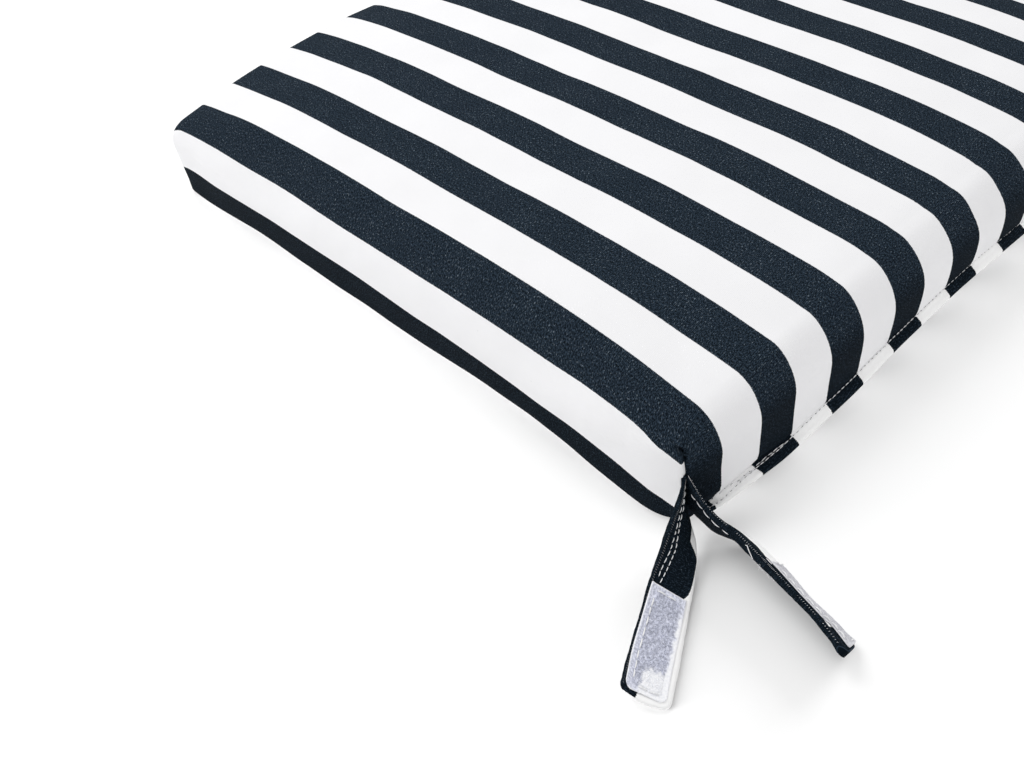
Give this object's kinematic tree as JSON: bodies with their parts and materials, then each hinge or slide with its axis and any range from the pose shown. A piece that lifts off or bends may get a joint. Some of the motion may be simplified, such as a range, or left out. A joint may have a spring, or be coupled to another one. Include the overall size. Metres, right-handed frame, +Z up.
{
  "type": "chair cushion",
  "caption": "Square filled chair cushion in striped canvas with boxed edges, a hem flange along one edge and flat corner ties faced with hook-and-loop tape.",
  "frame": {"origin": "middle of the flat underside, on the surface that the cushion lies on", "axes": "+Z up through the crown, +Y along the stripes from the tied edge to the far edge, +X across the stripes"},
  "size_m": [0.6208, 0.5577, 0.0818],
  "materials": {
    "striped_canvas": "matt twill canvas in even blue-black and white stripes",
    "tie_canvas": "the same matt canvas, folded and edge-stitched, blue-black with a white fold",
    "loop_tape": "short pale loop pile with a box of white stitching",
    "hook_tape": "pale woven strip with rows of short moulded hooks"
  },
  "bodies": {
    "root": {"cushion": "striped_canvas", "loop_tie_left": "tie_canvas", "hook_tie_left": "tie_canvas", "loop_tape_left": "loop_tape", "hook_tape_left": "hook_tape", "loop_tie_right": "tie_canvas", "hook_tie_right": "tie_canvas", "loop_tape_right": "loop_tape", "hook_tape_right": "hook_tape"}
  },
  "joints": []
}
